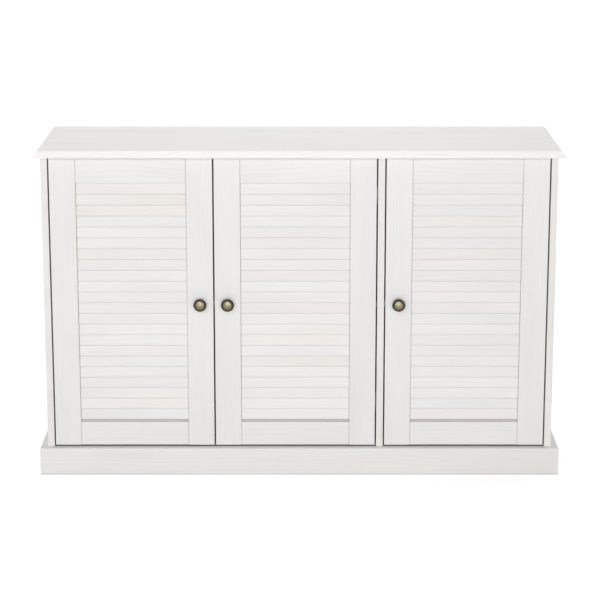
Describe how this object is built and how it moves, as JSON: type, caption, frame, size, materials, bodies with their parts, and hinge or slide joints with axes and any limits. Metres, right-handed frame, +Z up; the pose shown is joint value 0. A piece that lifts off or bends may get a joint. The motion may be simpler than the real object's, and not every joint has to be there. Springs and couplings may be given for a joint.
{
  "type": "louvred door cabinet",
  "caption": "Low white-glazed pine cabinet with louvred inset doors on concealed hinges, round brass knobs, a moulded top, a plinth and shelves inside.",
  "frame": {"origin": "middle of the footprint on the floor, halfway between the knobs' faces and the back edge", "axes": "+X to the right along the front, -Y out of the doors, +Z up"},
  "size_m": [1.42, 0.406, 0.9],
  "materials": {
    "carcass_wood": "white glaze over pine, satin, grain faintly showing",
    "door_wood": "white glaze over pine, satin, grain faintly showing",
    "slat_wood": "white glaze over pine, satin, a little warmer or greyer from slat to slat",
    "top_wood": "white glaze over pine, satin",
    "plinth_wood": "white glaze over pine, satin",
    "back_board": "thin plywood with a white wash",
    "bare_wood": "unfinished pine",
    "knob_brass": "antique brass, dark in the hollows",
    "hinge_steel": "nickel plated pressed steel",
    "screw_steel": "zinc plated"
  },
  "bodies": {
    "cabinet": {"back_panel": "back_board", "back_screws": "screw_steel", "bottom_board": "carcass_wood", "floor_support": "bare_wood", "hinge_arm_screws": "screw_steel", "left_door_hinge_arms": "hinge_steel", "left_door_hinge_plates": "hinge_steel", "left_door_plate_screws": "screw_steel", "left_shelf": "carcass_wood", "left_side_panel": "carcass_wood", "middle_door_hinge_arms": "hinge_steel", "middle_door_hinge_plates": "hinge_steel", "middle_door_plate_screws": "screw_steel", "partition": "carcass_wood", "plinth_back": "bare_wood", "plinth_front": "plinth_wood", "plinth_left": "plinth_wood", "plinth_right": "plinth_wood", "right_door_hinge_arms": "hinge_steel", "right_door_hinge_plates": "hinge_steel", "right_door_plate_screws": "screw_steel", "right_shelf": "carcass_wood", "right_side_panel": "carcass_wood", "shelf_pegs": "screw_steel", "top_board": "top_wood", "top_dowels": "bare_wood"},
    "left_door": {"left_door_bottom_rail": "door_wood", "left_door_cup_screws": "screw_steel", "left_door_hinge_cups": "hinge_steel", "left_door_hinge_links": "hinge_steel", "left_door_hinge_stile": "door_wood", "left_door_knob": "knob_brass", "left_door_knob_screw": "screw_steel", "left_door_knob_stile": "door_wood", "left_door_slats": "slat_wood", "left_door_top_rail": "door_wood"},
    "middle_door": {"middle_door_bottom_rail": "door_wood", "middle_door_cup_screws": "screw_steel", "middle_door_hinge_cups": "hinge_steel", "middle_door_hinge_links": "hinge_steel", "middle_door_hinge_stile": "door_wood", "middle_door_knob": "knob_brass", "middle_door_knob_screw": "screw_steel", "middle_door_knob_stile": "door_wood", "middle_door_slats": "slat_wood", "middle_door_top_rail": "door_wood"},
    "right_door": {"right_door_bottom_rail": "door_wood", "right_door_cup_screws": "screw_steel", "right_door_hinge_cups": "hinge_steel", "right_door_hinge_links": "hinge_steel", "right_door_hinge_stile": "door_wood", "right_door_knob": "knob_brass", "right_door_knob_screw": "screw_steel", "right_door_knob_stile": "door_wood", "right_door_slats": "slat_wood", "right_door_top_rail": "door_wood"}
  },
  "joints": [
    {"name": "left_door_hinge", "type": "hinge", "parent": "cabinet", "child": "left_door", "pos_m": [-0.6645, -0.1725, 0.4785], "axis": [0, 0, -1], "range_deg": [0, 95]},
    {"name": "middle_door_hinge", "type": "hinge", "parent": "cabinet", "child": "middle_door", "pos_m": [0.20317, -0.1725, 0.4785], "axis": [0, 0, 1], "range_deg": [0, 95]},
    {"name": "right_door_hinge", "type": "hinge", "parent": "cabinet", "child": "right_door", "pos_m": [0.6645, -0.1725, 0.4785], "axis": [0, 0, 1], "range_deg": [0, 95]}
  ]
}
